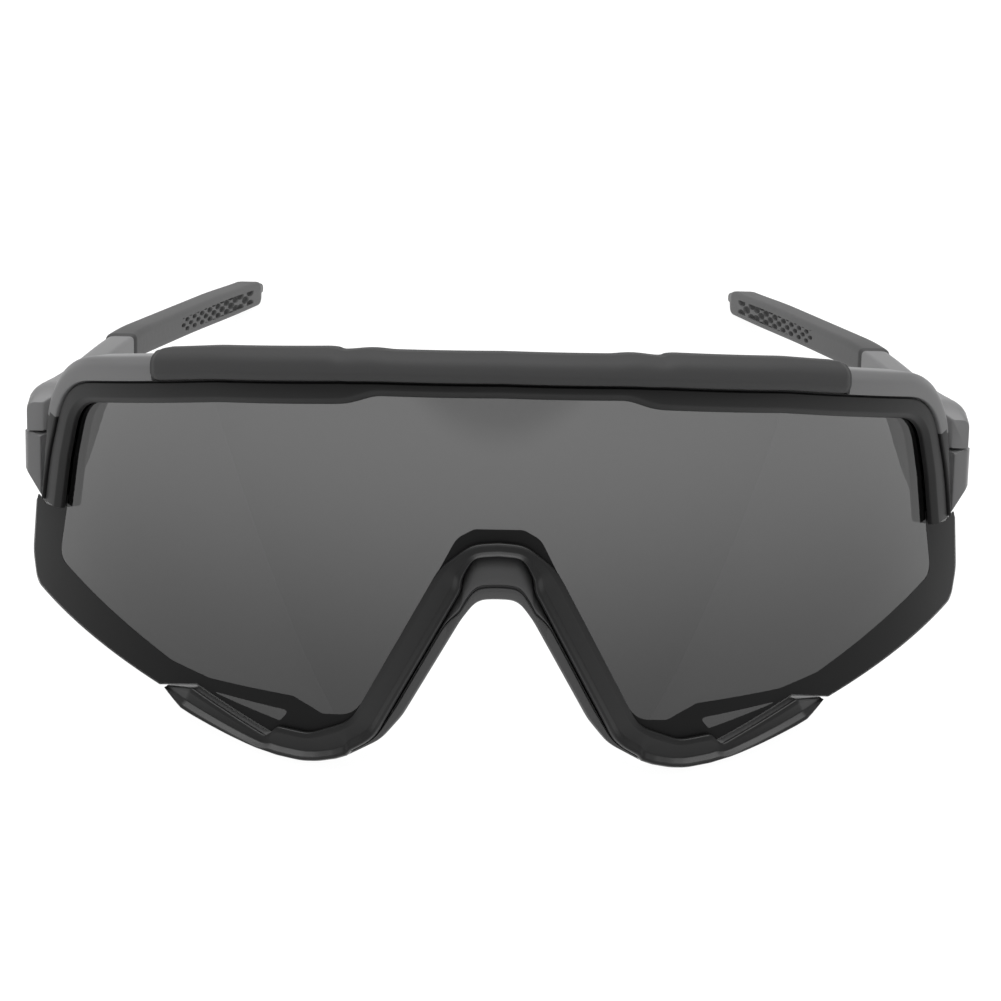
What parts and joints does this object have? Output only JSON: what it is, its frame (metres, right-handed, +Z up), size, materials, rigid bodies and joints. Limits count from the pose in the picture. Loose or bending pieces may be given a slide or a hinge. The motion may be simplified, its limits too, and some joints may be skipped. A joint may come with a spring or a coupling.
{
  "type": "sport sunglasses",
  "caption": "Wraparound shield sport sunglasses with a smoke lens, black half frame, soft nose pad and folding arms with rubber sleeves.",
  "frame": {"origin": "centre of the footprint, on the surface the glasses stand on", "axes": "+X toward the wearer's left, -Y the way the lens faces, +Y back along the arms, +Z up, standing on the lower rim's two lobes and the two arm tips"},
  "size_m": [0.1456, 0.151, 0.0602],
  "materials": {
    "smoke_lens": "smoke-tinted clear polycarbonate, polished, printed dark border low down",
    "frame_black": "satin moulded nylon, charcoal, with a darker lip round the lens",
    "rim_black": "satin moulded nylon",
    "endpiece_black": "satin moulded nylon, charcoal, with a darker lip round the lens",
    "temple_black": "satin moulded nylon, charcoal, with a darker lip round the lens",
    "pad_rubber": "soft matte elastomer",
    "nose_rubber": "soft matte elastomer",
    "sleeve_rubber": "soft matte elastomer",
    "nylon": "natural nylon",
    "steel": "stainless"
  },
  "bodies": {
    "front": {"lens": "smoke_lens", "frame_front": "frame_black", "brow_pad": "pad_rubber", "lower_rim": "rim_black", "nose_pad": "nose_rubber", "endpiece_left": "endpiece_black", "endpiece_dowel_left": "steel", "hinge_bracket_left": "steel", "hinge_screw_left": "steel", "endpiece_right": "endpiece_black", "endpiece_dowel_right": "steel", "hinge_bracket_right": "steel", "hinge_screw_right": "steel"},
    "arm_left": {"temple_left": "temple_black", "temple_core_left": "steel", "temple_sleeve_left": "sleeve_rubber", "hinge_eye_left": "steel", "hinge_washer_lower_left": "nylon", "hinge_washer_upper_left": "nylon"},
    "arm_right": {"temple_right": "temple_black", "temple_core_right": "steel", "temple_sleeve_right": "sleeve_rubber", "hinge_eye_right": "steel", "hinge_washer_lower_right": "nylon", "hinge_washer_upper_right": "nylon"}
  },
  "joints": [
    {"name": "left_arm_hinge", "type": "hinge", "parent": "front", "child": "arm_left", "pos_m": [0.0683, -0.02835, 0.02418], "axis": [0, 0.3372, 0.9414], "range_deg": [0, 80]},
    {"name": "right_arm_hinge", "type": "hinge", "parent": "front", "child": "arm_right", "pos_m": [-0.0683, -0.02835, 0.02418], "axis": [0, -0.3372, -0.9414], "range_deg": [0, 67]}
  ]
}
